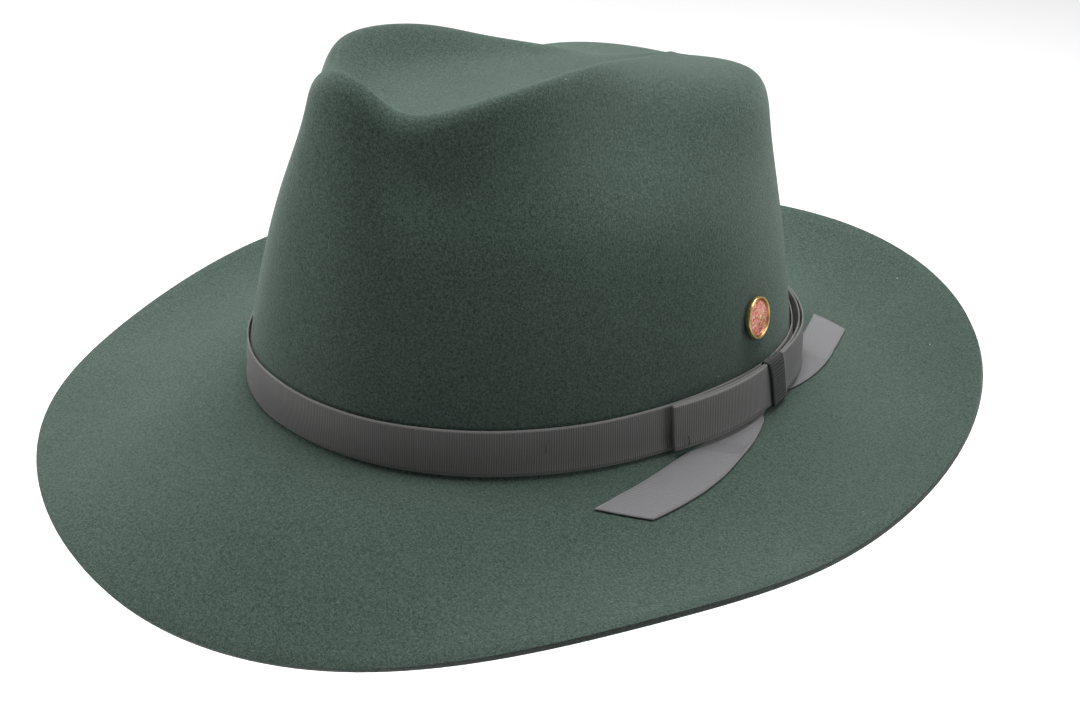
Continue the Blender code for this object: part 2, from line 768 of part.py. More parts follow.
def make_lining(collection, satin):
    """Satin lining: a side panel that follows the wall and a tip panel across the top."""
    heights = np.linspace(LINING_BOTTOM, LINING_TOP, 5)
    sections = []
    for angle in ring_angles():
        sections.append(
            wall_section(
                angle,
                heights,
                lambda h: -FELT - LINING_INSET - LINING,
                lambda h: -FELT - LINING_INSET,
            )
        )
    add_object(collection, "lining_side", sweep(sections, closed=True), satin)

    rim = [wall(a, LINING_TOP, -FELT - LINING_INSET - LINING - 0.0004) for a in ring_angles()]
    centre = sum(rim, Vector()) / len(rim)
    bm = bmesh.new()
    skins = []
    for drop in (0.0, LINING):
        rings = []
        for share in (1.0, 0.7, 0.35):
            sag = LINING_TIP_DROP * (1 - share * share)
            offset = Vector((0, 0, sag + 0.0004 + drop))
            rings.append([bm.verts.new(centre + (p - centre) * share - offset) for p in rim])
        middle = bm.verts.new(centre - Vector((0, 0, LINING_TIP_DROP + 0.0004 + drop)))
        skins.append(rings)
        for k in range(MERIDIANS):
            bm.faces.new((rings[-1][k], rings[-1][(k + 1) % MERIDIANS], middle))
        for one, two in zip(rings, rings[1:]):
            for k in range(MERIDIANS):
                after = (k + 1) % MERIDIANS
                bm.faces.new((one[k], one[after], two[after], two[k]))
    for k in range(MERIDIANS):
        after = (k + 1) % MERIDIANS
        bm.faces.new((skins[0][0][k], skins[0][0][after], skins[1][0][after], skins[1][0][k]))
    add_object(collection, "lining_tip", bm, satin)


def main():
    clear_scene()
    hat = new_collection("teardrop_felt_hat")
    cutters = new_collection("cutters")
    cutters.hide_render = True
    ribbon = new_material("grosgrain_ribbon", RIBBON_COLOR, 0.8)
    brass = new_material("brass", BRASS_COLOR, 0.3, 1.0)
    satin = new_material("satin", SATIN_COLOR, 0.4)
    dark_thread = new_material("dark_thread", DARK_THREAD_COLOR, 0.8)

    make_felt(hat, cutters, new_material("felt", FELT_COLOR, 0.95))
    make_band(hat, ribbon)
    make_loop(hat, "bow_front_loop", FRONT_LOOP_END, 0.0008, ribbon)
    make_loop(hat, "bow_rear_loop", REAR_LOOP_END, 0.0010, ribbon)
    make_knot(hat, ribbon)
    make_tail(hat, "bow_front_tail", FRONT_TAIL, ribbon)
    make_tail(hat, "bow_rear_tail", REAR_TAIL, ribbon)
    make_stitch(hat, "band_stitch", 56.0, 0.0107, RIBBON_GAP + RIBBON + 0.0005, dark_thread)
    loop_face = LOOP_OUTSET + LAYER + 0.0008
    make_stitch(hat, "loop_stitch", FRONT_LOOP_END + 3.0, 0.0050, loop_face, dark_thread)
    make_badge(
        hat,
        brass,
        new_material("enamel", ENAMEL_COLOR, 0.2),
        new_material("steel", STEEL_COLOR, 0.3, 1.0),
    )
    make_sweatband(
        hat,
        new_material("leather", LEATHER_COLOR, 0.5),
        new_material("cover_tape", TAPE_COLOR, 0.8),
        new_material("reed_plastic", REED_COLOR, 0.4),
        new_material("sewing_thread", THREAD_COLOR, 0.8),
    )
    make_rear_bow(hat, ribbon)
    make_size_tab(hat, new_material("paper", PAPER_COLOR, 0.8))
    make_lining(hat, satin)


main()
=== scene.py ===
# %% [markdown]
# # A teardrop felt hat with a ribbon band and a pin badge
# The measured model is loaded first. It fixes where every part of the hat sits, in metres: the
# origin is the middle of the head opening, the front points to -Y and the wearer's left to +X.
# Everything made below is a finer, softer version of one of its parts, in the same place.

import math
from functools import lru_cache

import bmesh
import bpy
import numpy as np
from mathutils import Matrix, Vector


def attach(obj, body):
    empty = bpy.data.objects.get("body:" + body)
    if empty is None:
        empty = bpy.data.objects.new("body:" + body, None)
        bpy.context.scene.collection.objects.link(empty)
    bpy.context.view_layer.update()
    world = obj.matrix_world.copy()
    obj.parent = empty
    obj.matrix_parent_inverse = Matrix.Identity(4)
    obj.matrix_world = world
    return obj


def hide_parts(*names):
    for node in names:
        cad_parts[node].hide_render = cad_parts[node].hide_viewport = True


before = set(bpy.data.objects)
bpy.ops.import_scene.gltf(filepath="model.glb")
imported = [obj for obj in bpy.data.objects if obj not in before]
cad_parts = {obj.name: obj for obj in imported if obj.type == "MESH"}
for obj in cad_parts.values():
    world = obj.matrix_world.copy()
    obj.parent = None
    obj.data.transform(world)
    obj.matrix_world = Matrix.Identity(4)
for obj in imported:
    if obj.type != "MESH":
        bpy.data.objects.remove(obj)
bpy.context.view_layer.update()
print("parts of the measured hat:", len(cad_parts))

# %% [markdown]
# ## Camera
# A 70 mm lens looks down on the hat from its front left corner, tilted a little to one side.
# The tilt is a roll about the line of sight, so the camera's three axes are worked out first
# and then put together as one matrix.

# %% Camera
LENS = 70
CAMERA_TURN = math.radians(45)
CAMERA_RISE = math.radians(25.18)
CAMERA_ROLL = math.radians(2.80)
CAMERA_DISTANCE = 0.751
CAMERA_ASIDE = 0.0067
CAMERA_DROP = 0.0014

toward_camera = Vector(
    (
        math.sin(CAMERA_TURN) * math.cos(CAMERA_RISE),
        -math.cos(CAMERA_TURN) * math.cos(CAMERA_RISE),
        math.sin(CAMERA_RISE),
    )
)
level_right = Vector((0, 0, 1)).cross(toward_camera).normalized()
level_up = toward_camera.cross(level_right)
right = math.cos(CAMERA_ROLL) * level_right + math.sin(CAMERA_ROLL) * level_up
up = math.cos(CAMERA_ROLL) * level_up - math.sin(CAMERA_ROLL) * level_right
camera = bpy.data.objects.new("camera", bpy.data.cameras.new("camera"))
camera.data.lens = LENS
camera.matrix_world = Matrix((right, up, toward_camera)).transposed().to_4x4()
camera.location = right * CAMERA_ASIDE - up * CAMERA_DROP + toward_camera * CAMERA_DISTANCE
bpy.context.scene.collection.objects.link(camera)
bpy.context.scene.camera = camera
bpy.context.scene.view_settings.view_transform = "Standard"
print("camera stands at", [round(value, 3) for value in camera.location])

# %% [markdown]
# ## Studio
# The hat is shown held up over a white table, as on a slim display stand, so the table is well
# below the brim and takes almost no shadow. One large lamp overhead and behind lights the brim
# and leaves the front of the crown darker. A dim white sky fills the shadows.

# %% Table and lights
TABLE_DROP = 0.30
TABLE_SIZE = 12.0


def soft_lamp(name, place, size, power):
    """A square area lamp that points at the hat."""
    lamp = bpy.data.lights.new(name, "AREA")
    lamp.size = size
    lamp.energy = power
    holder = bpy.data.objects.new(name, lamp)
    holder.location = place
    holder.rotation_euler = (-Vector(place)).to_track_quat("-Z", "Y").to_euler()
    bpy.context.scene.collection.objects.link(holder)
    return holder


table_bm = bmesh.new()
bmesh.ops.create_grid(table_bm, x_segments=1, y_segments=1, size=TABLE_SIZE / 2)
bmesh.ops.translate(table_bm, verts=table_bm.verts, vec=(0, 0, -TABLE_DROP))
table_mesh = bpy.data.meshes.new("table")
table_bm.to_mesh(table_mesh)
table_bm.free()
table = bpy.data.objects.new("table", table_mesh)
bpy.context.scene.collection.objects.link(table)

soft_lamp("lamp_overhead", (-0.35, 0.35, 1.5), 1.4, 43)
soft_lamp("lamp_left", (-1.2, -0.75, 0.75), 0.9, 10)
soft_lamp("lamp_right", (1.1, 0.9, 0.65), 0.9, 6)
sky = bpy.data.worlds.new("sky")
sky.use_nodes = True
sky.node_tree.nodes["Background"].inputs["Color"].default_value = (1.0, 1.0, 1.0, 1.0)
sky.node_tree.nodes["Background"].inputs["Strength"].default_value = 0.15
bpy.context.scene.world = sky
print("table at", -TABLE_DROP, "m")

# %% [markdown]
# ## Mixing materials
# Blender materials are graphs of nodes. Written out one node at a time they are hard to read, so
# the class below wraps a socket of the graph. Sums on it, such as `1 - mask * 0.3`, add Math
# nodes, and its one method `add` makes any other node.


# %% A socket that can be used in sums
class Wire:
    """A socket of a material's node graph. Sums on it add Math nodes."""

    def __init__(self, tree, socket=None):
        self.tree = tree
        self.socket = socket

    def add(self, kind, settings=None, inputs=None, output=0):
        """Add any node: its settings first, then the values or wires of its sockets."""
        node = self.tree.nodes.new("ShaderNode" + kind)
        for name, value in (settings or {}).items():
            setattr(node, name, value)
        for name, value in (inputs or {}).items():
            if isinstance(value, Wire):
                self.tree.links.new(value.socket, node.inputs[name])
            else:
                node.inputs[name].default_value = value
        return Wire(self.tree, node.outputs[output] if node.outputs else None)

    def math(self, operation, *values):
        return self.add("Math", {"operation": operation}, dict(enumerate(values)))

    def __add__(self, other):
        return self.math("ADD", self, other)

    def __radd__(self, other):
        return self.math("ADD", other, self)

    def __sub__(self, other):
        return self.math("SUBTRACT", self, other)

    def __rsub__(self, other):
        return self.math("SUBTRACT", other, self)

    def __mul__(self, other):
        return self.math("MULTIPLY", self, other)

    def __rmul__(self, other):
        return self.math("MULTIPLY", other, self)


def start_material(name):
    """A new material and the wire its nodes are added from."""
    material = bpy.data.materials.new(name)
    material.use_nodes = True
    material.node_tree.nodes.clear()
    return material, Wire(material.node_tree)


def finish_material(start, **looks):
    """Join a Principled shader with the given looks to the material's output."""
    inputs = {name.replace("_", " ").title().replace("Ior", "IOR"): v for name, v in looks.items()}
    shader = start.add("BsdfPrincipled", None, inputs)
    start.add("OutputMaterial", None, {"Surface": shader})


def position(start):
    return start.add("TexCoord", None, None, "Object")


def cloth_position(start):
    return start.add("UVMap", {"uv_map": "cloth"})


def noise(start, place, scale, detail=2.0, roughness=0.5):
    inputs = {"Vector": place, "Scale": scale, "Detail": detail, "Roughness": roughness}
    return start.add("TexNoise", None, inputs)


def ramp(start, value, low, high):
    """0 below low, 1 above high and a straight climb between them."""
    return start.add("MapRange", {"clamp": True}, {"Value": value, "From Min": low, "From Max": high})


def blend_colors(start, share, first, second):
    """The first colour where share is 0, the second where it is 1."""
    return start.add("Mix", {"data_type": "RGBA"}, {0: share, 6: first, 7: second}, 2)


def bumps(start, height, distance, strength=1.0, over=None):
    inputs = {"Height": height, "Distance": distance, "Strength": strength}
    if over is not None:
        inputs["Normal"] = over
    return start.add("Bump", None, inputs)


def color(red, green, blue):
    return (red, green, blue, 1.0)


# %% [markdown]
# ## The table top
# Plain white, with a faint unevenness so that it isn't a dead flat colour.

# %% White table top
material, start = start_material("white_table")
cloud = noise(start, position(start), 3.0)
shade = blend_colors(start, cloud, color(0.86, 0.86, 0.86), color(0.90, 0.90, 0.90))
finish_material(start, base_color=shade, roughness=0.9, emission_color=shade, emission_strength=0.3)
table_mesh.materials.append(material)

# %% [markdown]
# ## The shape of the hat
# A felt hat starts as a cone of felt that is steamed and pulled over a block, so every line
# from the brim's edge up the wall and down into the crease is one smooth sweep of the same
# skin. The same idea makes it here: at each angle round the head a B-spline runs through a few
# control points, and the points themselves move smoothly from one angle to the next. The
# numbers are the measured model's own, so the fine skin lies where the measured one does.

# %% Dimensions of the felt
HALF_WIDTH = 0.0858
HALF_LENGTH = 0.0999
OVAL_POWER = 2.15
EGG = 0.039
FELT = 0.0022
BREAK = 0.25
# Angle from the front, then the crest's side and back, the belly's height and share of the
# way to the crest, and the neck's share and drop below the crest. Millimetres. The crest's
# height has a row of its own for each side of the hat.
STATIONS = (
    (0, 0, -84.5, 78, 0.36, 0.76, 15),
    (16, 12.8, -81.5, 78, 0.36, 0.78, 16),
    (33, 22, -71.5, 76, 0.44, 0.85, 20),
    (54, 38, -52.5, 74, 0.35, 0.85, 22),
    (78, 39, -20, 76, 0.25, 0.82, 24),
    (102, 32.5, 5.5, 76, 0.21, 0.70, 20),
    (126, 22.3, 30.8, 80.5, 0.26, 0.41, 8),
    (152, 13.3, 53, 88.5, 0.26, 0.28, 3),
    (180, 0, 64.4, 89.5, 0.25, 0.42, 4.5),
)
# Height of the crest at each station, down the wearer's left and then down the right, in mm.
CREST_LEFT = (121.5, 116.5, 109.5, 116, 119, 116.5, 110.5, 106, 100.5)
CREST_RIGHT = (121.5, 119.5, 116.5, 119, 117, 110, 103.5, 98, 100.5)
# How far the crest is rounded off at the front, in shares of the way and in metres.
NOSE_ROUNDING = 0.14
NOSE_DROP = 0.004
CREASE_FLOOR = 0.104
CREASE_FALL = 0.05
CREASE_REACH = 0.061
BRIM_WIDTH = 0.0691
# Height of the brim's edge above the band line at every 30 degrees round from the front.
BRIM_EDGE = (
    -0.0300,
    -0.0276,
    -0.0133,
    -0.0124,
    -0.0013,
    0.0105,
    0.0124,
    0.0049,
    -0.0011,
    -0.0024,
    -0.0141,
    -0.0204,
)


# %% Smooth curves round the hat
def periodic_spline(angles, values):
    """Smooth closed curve through (angle, value) pairs, as a function of the angle."""
    angles = np.asarray(angles, float)
    values = np.asarray(values, float)
    gap = np.diff(np.append(angles, angles[0] + 2 * np.pi))
    slope = (np.roll(values, -1) - values) / gap
    count = len(angles)
    matrix = np.zeros((count, count))
    for k in range(count):
        matrix[k, k - 1] += gap[k - 1]
        matrix[k, k] += 2 * (gap[k - 1] + gap[k])
        matrix[k, (k + 1) % count] += gap[k]
    bend = np.linalg.solve(matrix, 6 * (slope - np.roll(slope, 1)))

    def at(angle):
        angle = np.mod(np.asarray(angle) - angles[0], 2 * np.pi) + angles[0]
        k = np.clip(np.searchsorted(angles, angle, side="right") - 1, 0, count - 1)
        after = (k + 1) % count
        t = angle - angles[k]
        rise = (values[after] - values[k]) / gap[k]
        first = rise - gap[k] * (2 * bend[k] + bend[after]) / 6
        third = (bend[after] - bend[k]) / (6 * gap[k])
        return values[k] + t * (first + t * (bend[k] / 2 + t * third))

    return at


def two_sided(left, right):
    """Spline round the hat through a value at each station of its left and of its right."""
    angle = np.radians([row[0] for row in STATIONS])
    other_side = slice(-2, 0, -1)
    return periodic_spline(
        np.concatenate([angle, 2 * np.pi - angle[other_side]]),
        np.concatenate([left, right[other_side]]),
    )


def mirrored(column, sign, scale):
    """Spline through a column of STATIONS, the same on both sides of the hat."""
    value = np.array([row[column] for row in STATIONS]) * scale
    return two_sided(value, sign * value)


crest_side = mirrored(1, -1, 0.001)
crest_back = mirrored(2, 1, 0.001)
crest_height = two_sided(np.array(CREST_LEFT) * 0.001, np.array(CREST_RIGHT) * 0.001)
belly_height = mirrored(3, 1, 0.001)
belly_share = mirrored(4, 1, 1.0)
neck_share = mirrored(5, 1, 1.0)
neck_drop = mirrored(6, 1, 0.001)
brim_edge = periodic_spline(np.radians(np.arange(0, 360, 30)), BRIM_EDGE)


def bspline(points, t):
    """Clamped cubic B-spline over a list of control points, at parameters t from 0 to 1."""
    count = len(points)
    inner = np.linspace(0, 1, count - 2)
    knots = np.concatenate([[0] * 3, inner, [1] * 3])
    t = np.minimum(t, 1 - 1e-9)
    basis = [((t >= knots[i]) & (t < knots[i + 1])).astype(float) for i in range(count + 3)]
    for degree in (1, 2, 3):
        raised = []
        for i in range(count + 3 - degree):
            value = np.zeros_like(t)
            before = knots[i + degree] - knots[i]
            after = knots[i + degree + 1] - knots[i + 1]
            if before > 0:
                value += (t - knots[i]) / before * basis[i]
            if after > 0:
                value += (knots[i + degree + 1] - t) / after * basis[i + 1]
            raised.append(value)
        basis = raised
    return np.tensordot(np.array(basis).T, points, axes=1)


# %% The head oval, the brim and the crown
def outward(angle):
    """Horizontal direction square to the head oval at an angle from the front."""
    s = np.sin(angle)
    c = np.cos(angle)
    x = np.sign(s) * np.abs(s) ** (OVAL_POWER - 1) / HALF_WIDTH
    y = -np.sign(c) * np.abs(c) ** (OVAL_POWER - 1) / HALF_LENGTH
    length = np.hypot(x, y)
    return x / length, y / length


def oval(angle, outset=0.0):
    """The head oval, an egg-shaped superellipse, moved outward by outset."""
    s = np.sin(angle)
    c = np.cos(angle)
    r = (np.abs(s) ** OVAL_POWER + np.abs(c) ** OVAL_POWER) ** (-1 / OVAL_POWER)
    nx, ny = outward(angle)
    x = HALF_WIDTH * s * r * (1 - EGG * c) + outset * nx
    y = -HALF_LENGTH * c * r + outset * ny
    return x, y


def brim_controls(angle):
    """Control points of the brim from its edge in to the break, at one or more angles."""
    width = BRIM_WIDTH + 0.0017 * np.cos(angle) + 0.0042 * np.cos(2 * angle)
    front = np.clip(np.cos(angle), 0, 1) ** 1.5
    side = np.sin(angle) ** 2
    back = np.clip(-np.cos(angle), 0, 1)
    dip = -0.010 * side - 0.014 * front - 0.002 * back
    heights = (brim_edge(angle), dip, -0.002 - 0.002 * side, np.zeros_like(width))
    rows = []
    for share, height in zip((1.0, 0.68, 0.35, 0.05), heights):
        x, y = oval(angle, width * share)
        rows.append((x, y, height))
    return rows


def crown_controls(angle):
    """Control points of the crown from the break up the wall, over the crest to the crease."""
    x, y = oval(angle, -0.0006)
    foot_x, foot_y = oval(angle, 0.0018 * np.cos(2 * angle) - 0.0009)
    crest_x = crest_side(angle)
    crest_y = crest_back(angle)
    crest_z = crest_height(angle)
    floor_y = np.clip(crest_y * 0.9, -CREASE_REACH, CREASE_REACH)
    floor_z = CREASE_FLOOR - CREASE_FALL * floor_y
    nose = np.clip(np.cos(angle), 0, 1) ** 3
    belly = belly_share(angle)
    belly_z = belly_height(angle)

    def inward(share, height):
        return (
            foot_x + share * (crest_x - foot_x),
            foot_y + share * (crest_y - foot_y),
            height,
        )

    def to_floor(share, height):
        return (crest_x * (1 - share), crest_y + share * (floor_y - crest_y), height)

    return [
        (x, y, -0.0002 + 0 * x),
        ((x + foot_x) / 2, (y + foot_y) / 2, 0.0065 + 0 * x),
        (foot_x, foot_y, 0.016 + 0 * x),
        inward(belly * 0.4, belly_z * 0.6),
        inward(belly, belly_z),
        inward(neck_share(angle), crest_z - neck_drop(angle)),
        inward(0.96 - NOSE_ROUNDING * nose, crest_z - 0.001 - NOSE_DROP * nose),
        to_floor(0.08 + NOSE_ROUNDING * nose, crest_z + 0.001),
        to_floor(0.30, floor_z + 0.45 * (crest_z - floor_z)),
        to_floor(0.52, floor_z + 0.0004),
        to_floor(1.0, floor_z),
    ]


def felt_surface(angle, t):
    """Outside of the felt from brim edge (t = 0) to crease floor (t = 1): [t, xyz, angle]."""
    controls = brim_controls(angle) + crown_controls(angle)
    return bspline(np.array(controls), t)


# %% Places on the wall and on the brim
LINE_POINTS = 400
# Share of the felt's profile at which the straight part of the wall is over.
WALL_END = 0.7


@lru_cache(maxsize=None)
def wall_line(angle):
    return felt_surface(np.array([angle]), np.linspace(BREAK, WALL_END, LINE_POINTS))[:, :, 0]


@lru_cache(maxsize=None)
def brim_line(angle):
    return felt_surface(np.array([angle]), np.linspace(BREAK, 0, LINE_POINTS))[:, :, 0]


def wall(angle, height, outset=0.0):
    """Point on the outside of the crown's wall at a height, moved outward by outset."""
    climb = wall_line(angle)
    x = np.interp(height, climb[:, 2], climb[:, 0])
    y = np.interp(height, climb[:, 2], climb[:, 1])
    nx, ny = outward(angle)
    return Vector((x + outset * nx, y + outset * ny, height))


def on_brim(angle, lift, outset):
    """Point a lift above the top of the brim at an outset from the head oval."""
    brim = brim_line(angle)
    x, y = oval(angle)
    nx, ny = outward(angle)
    outsets = (brim[:, 0] - x) * nx + (brim[:, 1] - y) * ny
    height = np.interp(outset, outsets, brim[:, 2])
    return Vector((x + outset * nx, y + outset * ny, height + lift))


def smooth_step(value):
    value = min(max(value, 0.0), 1.0)
    return value * value * (3 - 2 * value)


# %% [markdown]
# ## Turning bmeshes into pieces
# Two helpers do the same few jobs for every piece: `new_piece` writes a bmesh to an object and
# gives it its finishes, and `finish_piece` says which body it moves with and which measured
# parts it stands for.


# %% From bmesh to piece
def new_piece(name, bm, materials):
    mesh = bpy.data.meshes.new(name)
    bm.to_mesh(mesh)
    bm.free()
    mesh.shade_smooth()
    for material in materials:
        mesh.materials.append(material)
    piece = bpy.data.objects.new(name, mesh)
    bpy.context.scene.collection.objects.link(piece)
    return piece


def finish_piece(piece, body, replaced):
    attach(piece, body)
    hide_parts(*replaced)
    print(piece.name, "has", len(piece.data.polygons), "faces")


def thicken(piece, thickness, rim_material=0):
    """Give a skin its thickness on its inner side."""
    solidify = piece.modifiers.new("thickness", "SOLIDIFY")
    solidify.thickness = thickness
    solidify.offset = -1.0
    solidify.use_even_offset = True
    solidify.material_offset_rim = rim_material
    return solidify


# %% [markdown]
# ## Wool felt
# Hat felt is a mat of fine fibres, brushed and shaved to a short pile. Up close it is mottled:
# every fibre catches the light in its own way, and a few pale hairs and specks of lint always
# sit on it. The pile gives the soft pale rim at the hat's outline, which the shader's sheen
# makes. The colour is a dark bottle green that varies at three scales: slow clouds from
# brushing, a grain of pile a millimetre across, and single fibres.

# %% Felt
def felt_looks(name, deep, light, lint):
    material, start = start_material(name)
    place = position(start)
    clouds = noise(start, place, 22.0, 2.0)
    grain = noise(start, place, 1150.0, 3.0, 0.7)
    fibres = noise(start, place, 2600.0, 2.0, 0.6)
    pile = grain * 0.5 + fibres * 0.5
    tone = ramp(start, pile, 0.38, 0.62) * 0.8 + clouds * 0.2
    green = blend_colors(start, tone, deep, light)
    cells = start.add("TexVoronoi", None, {"Vector": place, "Scale": 190.0})
    chosen = noise(start, place, 130.0, 1.0)
    speck = ramp(start, cells, 0.075, 0.04) * ramp(start, chosen, 0.70, 0.72)
    surface = blend_colors(start, speck * lint, green, color(0.55, 0.58, 0.55))
    normal = bumps(start, pile, 0.0006, 0.75)
    normal = bumps(start, clouds, 0.0025, 0.25, normal)
    finish_material(
        start,
        base_color=surface,
        roughness=1.0,
        sheen_weight=0.42,
        sheen_roughness=0.42,
        sheen_tint=color(0.66, 0.80, 0.73),
        specular_ior_level=0.12,
        normal=normal,
    )
    return material


felt_green = felt_looks("felt_green", color(0.017, 0.031, 0.026), color(0.100, 0.142, 0.121), 0.9)
felt_edge = felt_looks("felt_raw_edge", color(0.018, 0.024, 0.023), color(0.065, 0.074, 0.070), 0.0)

# %% [markdown]
# ## The felt body
# A lathe would make a round hat, but this one is oval, pinched and creased. So the lathe only
# makes a plain tube of rows, by spinning one upright line, and then each of its points is moved
# to its own place on the hat: its turn gives the angle round the head and its height gives how
# far it lies along the sweep from the brim's edge to the crease. The last row folds onto the
# crease line and is welded shut. Solidify gives the felt its thickness, and the cut edge of
# the brim is rounded a little.

# %% Felt body
FELT_STEPS = 224
FELT_ROWS = 170
EDGE_ROUND = 0.0005

bm = bmesh.new()
line = [bm.verts.new((0.0, -1.0, row / FELT_ROWS)) for row in range(FELT_ROWS + 1)]
edges = [bm.edges.new(pair) for pair in zip(line, line[1:])]
bmesh.ops.spin(
    bm,
    geom=line + edges,
    cent=(0, 0, 0),
    axis=(0, 0, 1),
    angle=math.tau,
    steps=FELT_STEPS,
    use_merge=True,
)
angles = np.arange(FELT_STEPS) * math.tau / FELT_STEPS
surface = felt_surface(angles, np.linspace(0, 1, FELT_ROWS + 1))
crease_line = []
for vert in bm.verts:
    turn = math.atan2(vert.co.x, -vert.co.y) % math.tau
    step = round(turn / math.tau * FELT_STEPS) % FELT_STEPS
    row = round(vert.co.z * FELT_ROWS)
    vert.co = surface[row, :, step]
    if row == FELT_ROWS:
        crease_line.append(vert)
bmesh.ops.remove_doubles(bm, verts=crease_line, dist=0.0002)
bmesh.ops.recalc_face_normals(bm, faces=bm.faces)
felt = new_piece("felt_hat_body", bm, [felt_green, felt_edge])
thicken(felt, FELT, rim_material=1)
rounding = felt.modifiers.new("rounded_edge", "BEVEL")
rounding.width = EDGE_ROUND
rounding.segments = 2
rounding.limit_method = "ANGLE"
rounding.angle_limit = math.radians(60)
finish_piece(felt, "hat", ["felt_body"])

# %% [markdown]
# ## Grosgrain ribbon
# Grosgrain has a thick thread woven across it every millimetre or less, so it shows fine ribs
# square to its length, with a smooth selvage down each edge. The ribs follow the ribbon, not
# the hat, so they read the piece's own cloth map, which is in metres: U along the ribbon and V
# across it.

# %% Ribbon
RIB_PITCH = 0.00078
SELVAGE = 0.0007


def ribbon_looks(name, dark, light, width, rib_depth=0.00016):
    material, start = start_material(name)
    place = cloth_position(start)
    along = start.add("SeparateXYZ", None, {"Vector": place}, "X")
    across = start.add("SeparateXYZ", None, {"Vector": place}, "Y")
    waver = noise(start, place, 260.0, 2.0)
    rib = start.math("SINE", along * (math.tau / RIB_PITCH) + waver * 1.1) * 0.5 + 0.5
    threads = noise(start, place, 2600.0, 2.0)
    from_edge = start.math("MINIMUM", across, width - across)
    selvage = ramp(start, from_edge, SELVAGE, SELVAGE * 0.6)
    ribs = rib * (1 - selvage)
    tone = ribs * 0.55 + threads * 0.45
    cloth = blend_colors(start, tone, dark, light)
    edge = blend_colors(start, threads, light, color(*(1.25 * value for value in light[:3])))
    surface = blend_colors(start, selvage * 0.8, cloth, edge)
    clouds = noise(start, place, 70.0, 2.0)
    surface = blend_colors(start, clouds * 0.25, surface, dark)
    normal = bumps(start, ribs + threads * 0.25, rib_depth, 0.9)
    finish_material(
        start,
        base_color=surface,
        roughness=0.62,
        sheen_weight=0.25,
        sheen_roughness=0.4,
        specular_ior_level=0.35,
        normal=normal,
    )
    return material


BAND_BOTTOM = 0.0016
BAND_TOP = 0.0172
RIBBON_WIDTH = BAND_TOP - BAND_BOTTOM
RIBBON = 0.0004
RIBBON_GAP = 0.0007
KNOT_WIDTH = 0.0107
band_grey = ribbon_looks(
    "ribbon_band", color(0.085, 0.083, 0.082), color(0.215, 0.211, 0.208), RIBBON_WIDTH
)
# The tails are the band's own ribbon; their paler grey is painted light, for ribbon that lies on the brim
# and faces up.
tail_painted_light_grey = ribbon_looks(
    "ribbon_tail_painted_light", color(0.135, 0.132, 0.138), color(0.215, 0.212, 0.218), RIBBON_WIDTH, 0.00008
)
# The knot is the band's ribbon too; its near-black is painted shade, for level ribs that catch less
# light. The small bow at the back takes the same material.
dark_ribbon_knot_shade = ribbon_looks(
    "ribbon_dark_painted_knot_shade", color(0.006, 0.006, 0.007), color(0.060, 0.059, 0.061), KNOT_WIDTH, 0.0004
)

# %% [markdown]
# ## Ribbons bent into place
# Every ribbon is made the same way: a flat grid is cut to the ribbon's own length and width,
# which also gives the cloth map, and then each point is bent to its place by a small function
# of how far along and across it lies.


# %% Bend a strip
def strip(name, length, width, steps, place, thickness, materials, turn_over=False):
    """A strip of cloth length by width, in steps (along, across), bent by place(u, v)."""
    bm = bmesh.new()
    cloth = bm.loops.layers.uv.new("cloth")
    bmesh.ops.create_grid(bm, x_segments=steps[0], y_segments=steps[1], size=0.5, calc_uvs=True)
    for face in bm.faces:
        for corner in face.loops:
            u, v = corner.vert.co.x + 0.5, corner.vert.co.y + 0.5
            corner[cloth].uv = (u * length, v * width)
    for vert in bm.verts:
        vert.co = place(vert.co.x + 0.5, vert.co.y + 0.5)
    if turn_over:
        bmesh.ops.reverse_faces(bm, faces=bm.faces)
    piece = new_piece(name, bm, materials)
    if thickness:
        thicken(piece, thickness)
    return piece


def length_of(place, v=0.5, count=240):
    """Length of a bent strip along the line v across it."""
    points = [place(k / count, v) for k in range(count + 1)]
    return sum((b - a).length for a, b in zip(points, points[1:]))


# %% [markdown]
# ## The hat band
# One ribbon goes round the foot of the crown and its ends meet under the bow. It lies close,
# with a slight waver along its top edge, and a small tack stitch pulls a dimple into it at the
# front.

# %% Hat band
BOW_ANGLE = 113.8
TACK_ANGLE = 56.0
TACK_HEIGHT = 0.0107
SEAM_GAP = 0.4
DIMPLE_DEPTH = 0.00035
DIMPLE_WIDTH = 0.0016
# How far a degree is round the foot of the crown.
METRES_PER_DEGREE = 0.0016


def band_place(u, v):
    degrees = BOW_ANGLE + SEAM_GAP + (360 - 2 * SEAM_GAP) * u
    height = BAND_BOTTOM + RIBBON_WIDTH * v
    angle = math.radians(degrees)
    waver = 0.00012 * math.sin(7 * angle) + 0.00009 * math.sin(17 * angle + 1.0)
    aside = (degrees - 360 - TACK_ANGLE) * METRES_PER_DEGREE
    from_tack = math.hypot(aside, height - TACK_HEIGHT)
    dimple = DIMPLE_DEPTH * math.exp(-((from_tack / DIMPLE_WIDTH) ** 2))
    return wall(angle, height, RIBBON_GAP + RIBBON + 0.00015 + waver * v * v - dimple)


band_length = length_of(band_place)
band = strip("grosgrain_band", band_length, RIBBON_WIDTH, (420, 14), band_place, RIBBON, [band_grey])
finish_piece(band, "hat", ["hat_band"])
print("band ribbon is", round(band_length, 3), "m long")

# %% [markdown]
# ## The bow's two loops
# On each side of the knot the ribbon runs out along the band, folds back on itself and returns.
# Both are pressed close to the crown. One function gives the outset at each point of the way
# out, round the fold and back.

# %% Loops of the bow
FRONT_LOOP_END = 82.0
REAR_LOOP_END = 152.0
LOOP_OUTSET = 0.0029
LAYER = 0.0011
# The fold takes this share of the ribbon on each side of its middle, and bulges this far on.
FOLD_SHARE = 0.01
FOLD_REACH = 0.45
# Share of the way out over which the two layers stay flat before they start to bulge.
FLAT_SHARE = 0.12
INNER_BULGE = 0.35


